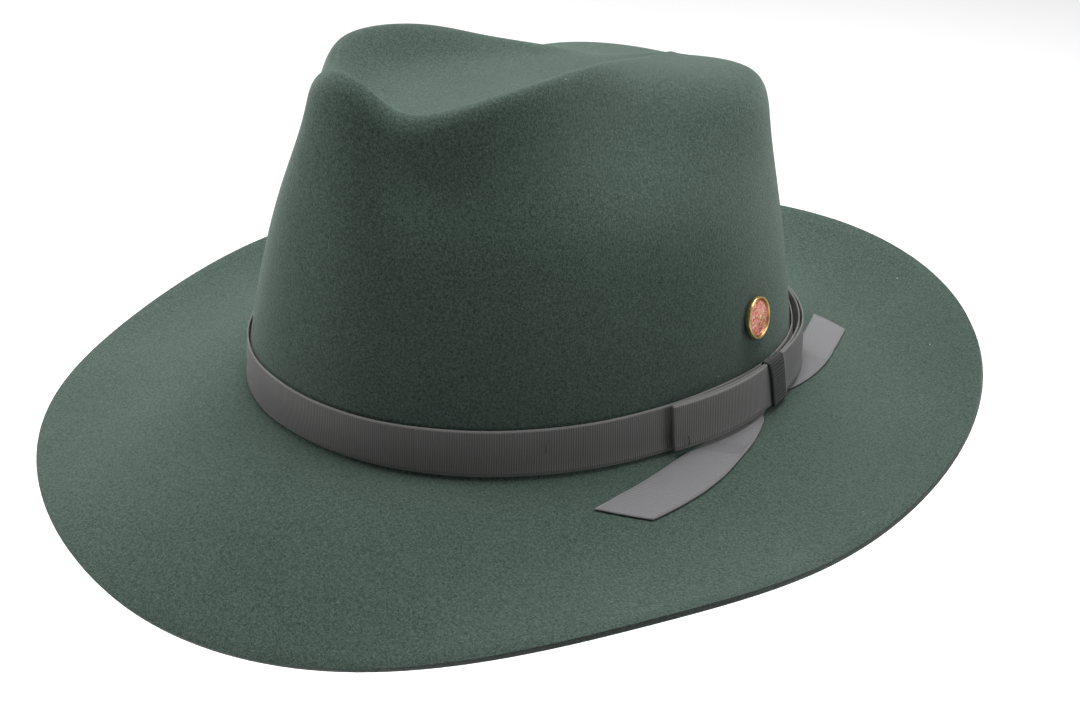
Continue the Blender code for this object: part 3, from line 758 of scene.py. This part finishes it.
def loop_piece(name, end, stand_off, material, replaced):
    """A ribbon folded back on itself beside the knot."""
    side = math.copysign(1.0, end - BOW_ANGLE)
    start = BOW_ANGLE + side * 1.0
    fold = end - side * FOLD_REACH

    def place(u, v):
        share = min(u, 1 - u) / (0.5 - FOLD_SHARE)
        outer = u < 0.5
        beyond = max(min(share, 1.0) - FLAT_SHARE, 0.0) / (1 - FLAT_SHARE)
        bulge = math.sin(math.pi * beyond) * stand_off
        middle = LOOP_OUTSET + LAYER / 2
        if share <= 1.0:
            degrees = start + (fold - start) * share
            outset = middle + (LAYER / 2 + bulge if outer else -LAYER / 2 + bulge * INNER_BULGE)
        else:
            turn = (0.5 - u) / FOLD_SHARE * math.pi / 2
            degrees = fold + side * FOLD_REACH * math.cos(turn)
            outset = middle + LAYER / 2 * math.sin(turn)
        height = BAND_BOTTOM + 0.0006 + RIBBON_WIDTH * v
        return wall(math.radians(degrees), height, outset)

    length = length_of(place)
    steps = (200, 12)
    piece = strip(name, length, RIBBON_WIDTH, steps, place, RIBBON, [material], side < 0)
    finish_piece(piece, "hat", [replaced])
    return piece


front_loop = loop_piece("loop_front", FRONT_LOOP_END, 0.0008, band_grey, "bow_front_loop")
rear_loop = loop_piece("loop_rear", REAR_LOOP_END, 0.0010, band_grey, "bow_rear_loop")

# %% [markdown]
# ## The knot
# A short length of ribbon is wrapped round the middle of the bow and sewn behind it. The ribbon
# runs up and over, so its ribs lie level. The strip is bent into a flattened ring whose corners
# are round, and its two ends meet at the back and are welded.

# %% Knot of the bow
KNOT_HALF_ANGLE = 3.2
KNOT_LEAN = -0.085
KNOT_LOW = 0.0014
KNOT_HIGH = 0.0182
KNOT_NEAR = RIBBON_GAP + RIBBON + 0.0004
KNOT_FAR = LOOP_OUTSET + LAYER + RIBBON * 2 + 0.0003
KNOT_MIDDLE = (KNOT_LOW + KNOT_HIGH) / 2
KNOT_TALL = KNOT_HIGH - KNOT_LOW
CORNER_POWER = 6
KNOT_WAIST = 0.06


def knot_place(u, v):
    """u goes once round the wrap, from the back up, over the top and down the front."""
    turn = math.tau * u
    across = math.cos(turn)
    rise = math.sin(turn)
    squareness = (abs(across) ** CORNER_POWER + abs(rise) ** CORNER_POWER) ** (1 / CORNER_POWER)
    across /= squareness
    rise /= squareness
    outset = (KNOT_NEAR + KNOT_FAR) / 2 - across * (KNOT_FAR - KNOT_NEAR) / 2
    height = KNOT_MIDDLE + rise * KNOT_TALL / 2
    pinch = 1 - KNOT_WAIST * math.cos(math.pi * (height - KNOT_MIDDLE) / KNOT_TALL)
    degrees = BOW_ANGLE + KNOT_HALF_ANGLE * (2 * v - 1) * pinch
    degrees += KNOT_LEAN * (height - 0.009) * 1000
    return wall(math.radians(degrees), height, outset)


knot_length = length_of(knot_place)
knot = strip("bow_knot_wrap", knot_length, KNOT_WIDTH, (128, 14), knot_place, 0, [dark_ribbon_knot_shade])
bm = bmesh.new()
bm.from_mesh(knot.data)
bmesh.ops.remove_doubles(bm, verts=bm.verts, dist=1e-6)
bmesh.ops.recalc_face_normals(bm, faces=bm.faces)
bm.to_mesh(knot.data)
bm.free()
thicken(knot, RIBBON)
finish_piece(knot, "hat", ["bow_knot"])

# %% [markdown]
# ## The two tails
# Each tail leaves the knot on edge, twists and lies down flat on the brim, and its tip is cut
# at a slant. A table gives the inner edge, the middle and the outer edge of the ribbon at a few
# stations, and curves through it give every point between.

# %% Tails of the bow
# Angle, outset from the head oval in mm, height above the brim in mm.
FRONT_TAIL = (
    ((112.8, 2.6, 14.5), (112.8, 2.6, 7.5), (112.8, 2.6, 2.5)),
    ((110.8, 2.6, 13.9), (110.8, 2.6, 6.0), (110.8, 2.6, 2.4)),
    ((109.4, 2.6, 13.5), (109.4, 2.6, 2.6), (109.4, 2.6, 1.5)),
    ((105.9, 2.6, 12.0), (106.5, 2.6, 1.3), (107.8, 3.3, 0.9)),
    ((102.3, 2.6, 10.0), (103.8, 2.6, 1.2), (106.0, 5.4, 0.8)),
    ((95.0, 2.6, 6.0), (96.8, 2.6, 1.0), (100.3, 9.4, 0.8)),
    ((91.0, 2.6, 3.0), (92.2, 2.6, 1.0), (97.2, 11.4, 0.8)),
    ((89.2, 2.6, 1.1), (90.4, 3.4, 0.9), (95.4, 12.5, 0.8)),
    ((87.2, 2.6, 0.9), (90.0, 7.4, 0.8), (93.5, 13.6, 0.8)),
    ((80.3, 5.6, 0.8), (83.3, 11.6, 0.8), (86.5, 18.2, 0.8)),
    ((74.3, 9.2, 0.8), (77.2, 15.2, 0.8), (80.5, 21.6, 0.8)),
    ((66.5, 14.4, 0.8), (70.6, 19.4, 0.8), (75.0, 24.3, 0.8)),
    ((61.5, 18.6, 0.8), (65.4, 22.8, 0.8), (69.3, 27.0, 0.8)),
)
REAR_TAIL = (
    ((115.2, 2.6, 14.5), (115.2, 2.6, 7.5), (115.2, 2.6, 2.5)),
    ((118.2, 2.6, 13.6), (118.2, 2.6, 6.0), (118.2, 2.6, 2.4)),
    ((119.6, 2.6, 13.0), (119.6, 2.6, 2.6), (119.6, 2.6, 1.5)),
    ((123.9, 2.6, 11.5), (123.3, 2.6, 1.3), (121.8, 3.3, 0.9)),
    ((128.6, 2.6, 9.5), (127.0, 2.6, 1.2), (124.8, 5.4, 0.8)),
    ((136.0, 2.6, 5.5), (134.5, 2.6, 1.0), (131.0, 9.4, 0.8)),
    ((139.5, 2.6, 3.0), (138.5, 2.6, 1.0), (134.0, 11.4, 0.8)),
    ((141.5, 2.6, 1.1), (140.5, 3.4, 0.9), (136.0, 12.8, 0.8)),
    ((143.5, 2.6, 0.9), (141.0, 8.0, 0.8), (138.0, 14.2, 0.8)),
    ((149.0, 8.8, 0.8), (146.6, 13.6, 0.8), (144.0, 18.8, 0.8)),
    ((154.5, 15.5, 0.8), (151.6, 19.4, 0.8), (148.5, 23.6, 0.8)),
    ((159.0, 22.2, 0.8), (155.8, 25.4, 0.8), (152.3, 28.4, 0.8)),
)


# Heights above the brim, in mm, below which the tail lies on the brim and above which it
# follows the wall.
LYING = 1.0
STANDING = 2.5


def tail_piece(name, rows, turn_over, replaced):
    table = np.array(rows)
    last = len(rows) - 1

    def place(u, v):
        station = u * last
        first = min(int(station), last - 1)
        row = table[first] + (station - first) * (table[first + 1] - table[first])
        inner, middle, outer = row
        near = middle - inner
        far = outer - middle
        degrees, outset, lift = inner + near * 2 * v if v < 0.5 else middle + far * (2 * v - 1)
        angle = math.radians(degrees)
        upright = smooth_step((lift - LYING) / (STANDING - LYING))
        flat = on_brim(angle, lift / 1000, outset / 1000)
        return flat.lerp(wall(angle, lift / 1000, outset / 1000), upright)

    length = length_of(place)
    steps = (12 * last, 14)
    piece = strip(name, length, RIBBON_WIDTH, steps, place, RIBBON, [tail_painted_light_grey], turn_over)
    finish_piece(piece, "hat", [replaced])


tail_piece("tail_front", FRONT_TAIL, False, "bow_front_tail")
tail_piece("tail_rear", REAR_TAIL, True, "bow_rear_tail")

# %% [markdown]
# ## Brass, enamel and steel
# Brass that is polished and worn has fine scratches in every direction and a little tarnish in
# its hollows. The enamel is glassy: a clear coat over colour that is paler where it is thin.

# %% Metal and enamel


def metal_looks(name, bright, dull):
    material, start = start_material(name)
    place = position(start)
    tarnish = noise(start, place, 900.0, 3.0)
    stretched = start.add("Mapping", None, {"Vector": place, "Scale": (1.0, 1.0, 9.0)})
    scratches = noise(start, stretched, 5200.0, 1.0)
    finish_material(
        start,
        base_color=blend_colors(start, ramp(start, tarnish, 0.45, 0.75), bright, dull),
        metallic=1.0,
        roughness=0.24 + tarnish * 0.16,
        normal=bumps(start, scratches, 0.00002, 0.5),
    )
    return material


def enamel_looks(name, deep, pale):
    material, start = start_material(name)
    place = position(start)
    cells = start.add("TexVoronoi", None, {"Vector": place, "Scale": 1500.0})
    cloud = noise(start, place, 700.0, 2.0)
    share = ramp(start, cells + cloud, 0.75, 1.15)
    finish_material(
        start,
        base_color=blend_colors(start, share, deep, pale),
        roughness=0.16 + cloud * 0.1,
        coat_weight=0.8,
        coat_roughness=0.06,
        normal=bumps(start, cells, 0.00005, 0.5),
    )
    return material


brass = metal_looks("polished_brass", color(0.86, 0.62, 0.27), color(0.52, 0.34, 0.13))
steel = metal_looks("pin_steel", color(0.66, 0.66, 0.64), color(0.36, 0.36, 0.35))
red_enamel = enamel_looks("red_enamel", color(0.90, 0.03, 0.04), color(1.0, 0.50, 0.42))

# %% [markdown]
# ## The pin badge
# The badge is a small round plate with a rolled rim, like a coin, filled with enamel. It is
# turned on a lathe: half its outline is spun round its own axis. A plain rosette of brass beads
# stands on the enamel.

# %% Badge dimensions and its place on the wall
BADGE_ANGLE = 109.75
BADGE_HEIGHT = 0.0337
BADGE_RADIUS = 0.0073
BADGE_THICKNESS = 0.0020
BADGE_RIM = 0.0009
BADGE_GAP = 0.0005
ENAMEL_DOME = 0.0007
ENAMEL_BELOW_RIM = 0.0006


def badge_frame(outset):
    """Frame of the badge: Z points out of the wall, the origin stands outset from the felt."""
    angle = math.radians(BADGE_ANGLE)
    centre = wall(angle, BADGE_HEIGHT)
    upward = wall(angle, BADGE_HEIGHT + 0.003) - wall(angle, BADGE_HEIGHT - 0.003)
    along = wall(angle + 0.05, BADGE_HEIGHT) - wall(angle - 0.05, BADGE_HEIGHT)
    out = along.cross(upward).normalized()
    side = upward.normalized().cross(out)
    turned_frame = Matrix((side, out.cross(side), out)).transposed().to_4x4()
    turned_frame.translation = centre + out * outset
    return turned_frame


def turned(name, profile, place, segments, material):
    """Spin half an outline, (radius, height) pairs with both ends on the axis, and place it."""
    bm = bmesh.new()
    points = [bm.verts.new((radius, 0, height)) for radius, height in profile]
    edges = [bm.edges.new(pair) for pair in zip(points, points[1:])]
    bmesh.ops.spin(
        bm,
        geom=points + edges,
        cent=(0, 0, 0),
        axis=(0, 0, 1),
        angle=math.tau,
        steps=segments,
        use_merge=True,
    )
    bmesh.ops.remove_doubles(bm, verts=bm.verts, dist=1e-6)
    bmesh.ops.recalc_face_normals(bm, faces=bm.faces)
    bmesh.ops.transform(bm, matrix=place, verts=bm.verts)
    return new_piece(name, bm, [material])


# %% Badge plate with its rolled rim
floor_height = 0.0009
rim_middle = BADGE_RADIUS - BADGE_RIM / 2
outline = [(0, 0), (BADGE_RADIUS - 0.0004, 0), (BADGE_RADIUS, 0.0004)]
for step in range(9):
    turn = math.pi * step / 8
    rise = BADGE_THICKNESS - 0.00035 + 0.00035 * math.sin(turn)
    outline.append((rim_middle + BADGE_RIM / 2 * math.cos(turn), rise))
outline += [(BADGE_RADIUS - BADGE_RIM, floor_height), (0, floor_height)]
plate = turned("badge_plate", outline, badge_frame(BADGE_GAP), 96, brass)
finish_piece(plate, "badge", ["badge_bezel"])



# %% Enamel, slightly domed
def dome_height(share):
    """Height of the enamel's face at a share of the way from its middle to its edge."""
    return BADGE_THICKNESS - ENAMEL_BELOW_RIM + ENAMEL_DOME * (1 - share**2)


enamel_edge = BADGE_RADIUS - BADGE_RIM - 0.0003
outline = [(0, 0.0012), (enamel_edge, 0.0012)]
for step in range(8):
    share = 1 - step / 7
    outline.append((enamel_edge * share, dome_height(share)))
enamel = turned("badge_enamel_dome", outline, badge_frame(BADGE_GAP), 72, red_enamel)
finish_piece(enamel, "badge", ["badge_enamel"])

# %% [markdown]
# Each petal of the rosette is a closed ring of small brass beads that follows the dome, and a
# flattened ball covers the middle. Small icospheres make the beads, because there are many.

# %% Brass rosette on the enamel
PETALS = 8
PETAL_BEADS = 20
BEAD_RADIUS = 0.000187
PETAL_MIDDLE = 0.0034
PETAL_HALF_LENGTH = 0.0019
PETAL_HALF_WIDTH = 0.000969
BOSS_RADIUS = 0.0009

beads = bmesh.new()
for petal in range(PETALS):
    middle = math.tau * petal / PETALS
    for step in range(PETAL_BEADS):
        turn = math.tau * step / PETAL_BEADS
        reach = PETAL_MIDDLE + PETAL_HALF_LENGTH * math.cos(turn)
        toward = middle + PETAL_HALF_WIDTH * math.sin(turn) / reach
        rise = dome_height(reach / enamel_edge)
        spot = Vector((reach * math.cos(toward), reach * math.sin(toward), rise))
        bead = bmesh.ops.create_icosphere(beads, subdivisions=1, radius=BEAD_RADIUS)
        bmesh.ops.translate(beads, verts=bead["verts"], vec=spot)
boss = bmesh.ops.create_uvsphere(beads, u_segments=24, v_segments=12, radius=BOSS_RADIUS)
bmesh.ops.scale(beads, verts=boss["verts"], vec=(1, 1, 0.45))
bmesh.ops.translate(beads, verts=boss["verts"], vec=(0, 0, BADGE_THICKNESS))
bmesh.ops.transform(beads, matrix=badge_frame(BADGE_GAP), verts=beads.verts)
rosette = new_piece("badge_rosette", beads, [brass])
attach(rosette, "badge")

for name, finish in (("badge_post", steel), ("badge_clutch", brass)):
    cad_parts[name].data.materials.clear()
    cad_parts[name].data.materials.append(finish)

# %% [markdown]
# ## Leather, cloth tape, thread, satin and paper
# The sweatband is thin sheepskin with a fine pebbled grain. The reed's tape is a plain black
# weave, the stitches are waxed thread with a visible twist, the lining is satin with long
# floating threads, and the size tab is bare card.

# %% Leather
material, start = start_material("sweatband_leather")
place = position(start)
pebbles = start.add("TexVoronoi", None, {"Vector": place, "Scale": 1100.0})
wrinkles = noise(start, place, 160.0, 4.0, 0.6)
wear = noise(start, place, 24.0, 3.0)
brown = blend_colors(start, wrinkles, color(0.16, 0.062, 0.024), color(0.30, 0.13, 0.055))
brown = blend_colors(start, ramp(start, wear, 0.5, 0.8) * 0.5, brown, color(0.36, 0.19, 0.09))
grain_bump = bumps(start, pebbles, 0.00012, 0.6)
finish_material(
    start,
    base_color=brown,
    roughness=0.42 + pebbles * 0.2,
    normal=bumps(start, wrinkles, 0.0004, 0.4, grain_bump),
)
leather = material

# %% Woven cloths


def weave_looks(name, dark, light, pitch, shine, sheen):
    """A plain weave whose threads cross every pitch, on the piece's own cloth map."""
    material, start = start_material(name)
    place = cloth_position(start)
    along = start.add("SeparateXYZ", None, {"Vector": place}, "X")
    across = start.add("SeparateXYZ", None, {"Vector": place}, "Y")
    warp = start.math("SINE", along * (math.tau / pitch))
    weft = start.math("SINE", across * (math.tau / pitch))
    threads = warp * weft * 0.5 + 0.5
    slubs = noise(start, place, 420.0, 3.0)
    finish_material(
        start,
        base_color=blend_colors(start, threads * 0.5 + slubs * 0.5, dark, light),
        roughness=shine,
        sheen_weight=sheen,
        sheen_roughness=0.4,
        normal=bumps(start, threads + slubs * 0.5, pitch * 0.2, 0.6),
    )
    return material


tape_black = weave_looks(
    "reed_tape_cloth", color(0.012, 0.012, 0.012), color(0.06, 0.06, 0.06), 0.0006, 0.7, 0.3
)
satin = weave_looks("lining_satin", color(0.25, 0.20, 0.125), color(0.50, 0.42, 0.28), 0.00045, 0.32, 0.5)
card = weave_looks("size_tab_card", color(0.66, 0.63, 0.55), color(0.80, 0.78, 0.71), 0.0004, 0.8, 0.0)

# %% Thread


def thread_looks(name, dark, light):
    material, start = start_material(name)
    place = position(start)
    fibres = noise(start, place, 3800.0, 3.0)
    twist = start.add("TexWave", None, {"Vector": place, "Scale": 900.0, "Distortion": 3.0})
    finish_material(
        start,
        base_color=blend_colors(start, twist * 0.6 + fibres * 0.4, dark, light),
        roughness=0.6,
        sheen_weight=0.3,
        normal=bumps(start, twist, 0.00006, 0.7),
    )
    return material


pale_thread = thread_looks("waxed_thread", color(0.34, 0.27, 0.17), color(0.68, 0.58, 0.42))
dark_thread = thread_looks("black_thread", color(0.012, 0.012, 0.012), color(0.07, 0.07, 0.07))
reed_material, start = start_material("reed_plastic")
cloud = noise(start, position(start), 300.0, 2.0)
shade = blend_colors(start, cloud, color(0.55, 0.55, 0.50), color(0.75, 0.75, 0.70))
finish_material(start, base_color=shade, roughness=0.35 + cloud * 0.1)
for name, finish in (
    ("band_stitch", dark_thread),
    ("loop_stitch", dark_thread),
    ("sweatband_reed", reed_material),
):
    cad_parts[name].data.materials.clear()
    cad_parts[name].data.materials.append(finish)

# %% [markdown]
# ## The sweatband
# A strip of leather stands inside the head opening. It is joined at the back, leans a little
# inward at its free top edge, and takes a soft wave between the points where it touches.

# %% Sweatband
SWEATBAND_TOP = 0.040
SWEATBAND_BOTTOM = 0.0026
SWEATBAND_LEAN = 0.0080
LEATHER = 0.0010
TAPE = 0.0004
TAPE_TOP = 0.0085


def leather_outside(height):
    """Outset of the leather's face toward the felt at a height."""
    return -FELT - TAPE - 0.0012 - SWEATBAND_LEAN * height / SWEATBAND_TOP


def leather_inside(height):
    return leather_outside(height) - LEATHER


def sweatband_place(u, v):
    angle = math.radians(180.5 + 359 * u)
    height = SWEATBAND_BOTTOM + (SWEATBAND_TOP - SWEATBAND_BOTTOM) * v
    wave = 0.0004 * v * v * math.sin(9 * angle)
    return wall(angle, height, leather_outside(height) - 0.0004 * v * v + wave)


sweatband_width = SWEATBAND_TOP - SWEATBAND_BOTTOM
sweatband_length = length_of(sweatband_place)
sweatband = strip(
    "leather_sweatband", sweatband_length, sweatband_width, (300, 16), sweatband_place, LEATHER, [leather]
)
finish_piece(sweatband, "hat", ["sweatband"])

# %% [markdown]
# The reed is a thin plastic cord that keeps the sweatband's lower edge round, and a cloth tape
# wraps it and runs up between the leather and the felt.

# %% Reed tape
REED_RADIUS = 0.0008
REED_INSET = 0.0048
REED_HEIGHT = 0.0006
# Share of the tape's width that is wrapped round the reed. The rest runs up the felt.
WRAPPED = 0.55


def tape_place(u, v):
    angle = math.radians(180.5 + 359 * u)
    centre = wall(angle, REED_HEIGHT, -REED_INSET)
    nx, ny = outward(angle)
    reach = REED_RADIUS + 0.0004 + TAPE
    if v > WRAPPED:
        share = (v - WRAPPED) / (1 - WRAPPED)
        foot = centre + Vector((nx, ny, 0)) * reach
        return foot.lerp(wall(angle, TAPE_TOP, -FELT - 0.0008), share)
    turn = math.pi * (v / WRAPPED - 1)
    return centre + (Vector((nx, ny, 0)) * math.cos(turn) + Vector((0, 0, math.sin(turn)))) * reach


tape_width = 0.0115
tape_length = length_of(tape_place)
tape = strip("reed_tape_strip", tape_length, tape_width, (280, 20), tape_place, TAPE, [tape_black])
finish_piece(tape, "hat", ["reed_tape"])

# %% [markdown]
# A zigzag of waxed thread joins the leather to the tape. It is one closed curve with a round
# section, turned into a mesh.

# %% Zigzag stitching
STITCH_COUNT = 96
THREAD_RADIUS = 0.00022

zigzag = bpy.data.curves.new("zigzag", "CURVE")
zigzag.dimensions = "3D"
zigzag.bevel_depth = THREAD_RADIUS
zigzag.bevel_resolution = 2
spline = zigzag.splines.new("POLY")
spline.points.add(STITCH_COUNT * 4 - 1)
for k, point in enumerate(spline.points):
    angle = math.tau * k / (STITCH_COUNT * 4)
    swing = 2 * abs((k / 4) % 1 - 0.5)
    height = SWEATBAND_BOTTOM + 0.0010 + 0.0016 * swing
    inset = leather_inside(height) - 0.0007 + 0.0001 * math.sin(math.pi * swing)
    point.co = (*wall(angle, height, inset), 1)
spline.use_cyclic_u = True
guide = bpy.data.objects.new("zigzag", zigzag)
bpy.context.scene.collection.objects.link(guide)
bpy.context.view_layer.update()
mesh = bpy.data.meshes.new_from_object(guide.evaluated_get(bpy.context.evaluated_depsgraph_get()))
bpy.data.objects.remove(guide)
mesh.name = "sweatband_zigzag"
mesh.shade_smooth()
mesh.materials.clear()
mesh.materials.append(pale_thread)
stitching = bpy.data.objects.new("sweatband_zigzag", mesh)
bpy.context.scene.collection.objects.link(stitching)
finish_piece(stitching, "hat", ["sweatband_stitching"])

# %% [markdown]
# ## The small bow at the back
# Two flat loops and a knot cover the sweatband's seam. Each loop is a tube of ribbon pressed
# flat, narrow at the knot and widest a third of the way out.

# %% Rear bow
BOW_HEIGHT = 0.010
REAR_BOW_RIBBON = 0.0003
REAR_BOW_WIDTH = 0.0100


def rear_loop_place(side):
    def place(u, v):
        share = 1 - abs(2 * u - 1)
        front = 1 if u < 0.5 else 0
        half = 0.0016 + 0.0028 * math.sin(math.pi * min(share + 0.15, 1) / 1.15) ** 0.7
        height = BOW_HEIGHT + half * (2 * v - 1)
        puff = 0.0006 + 0.0016 * math.sin(math.pi * share) * front
        angle = math.radians(180 + side * (1.6 + 7.5 * share))
        return wall(angle, height, leather_inside(height) - puff - 0.0002)

    return place


for name, side in (("rear_bow_left", -1), ("rear_bow_right", 1)):
    place = rear_loop_place(side)
    length = length_of(place)
    size = (length, REAR_BOW_WIDTH)
    piece = strip(name + "_loop", *size, (48, 10), place, REAR_BOW_RIBBON, [dark_ribbon_knot_shade], side > 0)
    finish_piece(piece, "hat", [name])


def rear_knot_place(u, v):
    turn = math.tau * u
    height = BOW_HEIGHT + 0.0024 * math.cos(turn)
    inset = leather_inside(height) - 0.0015 - 0.0009 * math.sin(turn)
    return wall(math.radians(180 + 1.2 * (2 * v - 1)), height, inset)


knot_round = length_of(rear_knot_place)
rear_knot = strip(
    "rear_bow_wrap", knot_round, 0.0042, (48, 8), rear_knot_place, REAR_BOW_RIBBON, [dark_ribbon_knot_shade]
)
finish_piece(rear_knot, "hat", ["rear_bow_knot"])

# %% [markdown]
# ## Size tab and lining
# A blank card tab stands between leather and felt near the back. The satin lining is a side
# panel that follows the wall, gathered in soft folds, and a flat tip across the top.


# %% Size tab
def tab_place(u, v):
    angle = math.radians(162 + 6 * u)
    height = 0.012 + 0.021 * v
    return wall(angle, height, leather_outside(height) + 0.0007)


tab_width = length_of(tab_place)
tab = strip("size_tab_card", tab_width, 0.021, (16, 16), tab_place, 0.0003, [card])
finish_piece(tab, "hat", ["size_tab"])

# %% Lining
LINING = 0.0005
LINING_INSET = 0.0074
LINING_BOTTOM = 0.034
LINING_TOP = 0.084
FOLDS = 60


def lining_place(u, v):
    angle = math.tau * u
    height = LINING_BOTTOM + (LINING_TOP - LINING_BOTTOM) * v
    fold = 0.0004 * math.sin(FOLDS * angle + 2 * math.sin(3 * angle)) * (0.3 + 0.7 * v)
    return wall(angle, height, -FELT - LINING_INSET - 0.0004 + fold)


lining_height = LINING_TOP - LINING_BOTTOM
lining_length = length_of(lining_place)
side_panel = strip(
    "lining_side_panel", lining_length, lining_height, (480, 20), lining_place, LINING, [satin]
)
finish_piece(side_panel, "hat", ["lining_side"])

# %% Lining tip
TIP_SAG = 0.0020
TIP_STEPS = 144
TIP_INSET = FELT + LINING_INSET + 0.0009
rim_points = [wall(math.tau * k / TIP_STEPS, LINING_TOP, -TIP_INSET) for k in range(TIP_STEPS)]
tip_middle = sum(rim_points, Vector()) / len(rim_points)


def tip_place(u, v):
    """u goes round the tip and v from its middle to its rim."""
    k = round(u * TIP_STEPS) % TIP_STEPS
    spot = tip_middle + (rim_points[k] - tip_middle) * v
    return spot - Vector((0, 0, 0.0006 + TIP_SAG * (1 - v * v)))


rim_length = 0.46
tip_reach = 0.07
tip = strip("lining_tip_panel", rim_length, tip_reach, (TIP_STEPS, 14), tip_place, 0, [satin])
bm = bmesh.new()
bm.from_mesh(tip.data)
bmesh.ops.remove_doubles(bm, verts=bm.verts, dist=1e-6)
bm.to_mesh(tip.data)
bm.free()
thicken(tip, LINING)
finish_piece(tip, "hat", ["lining_tip"])
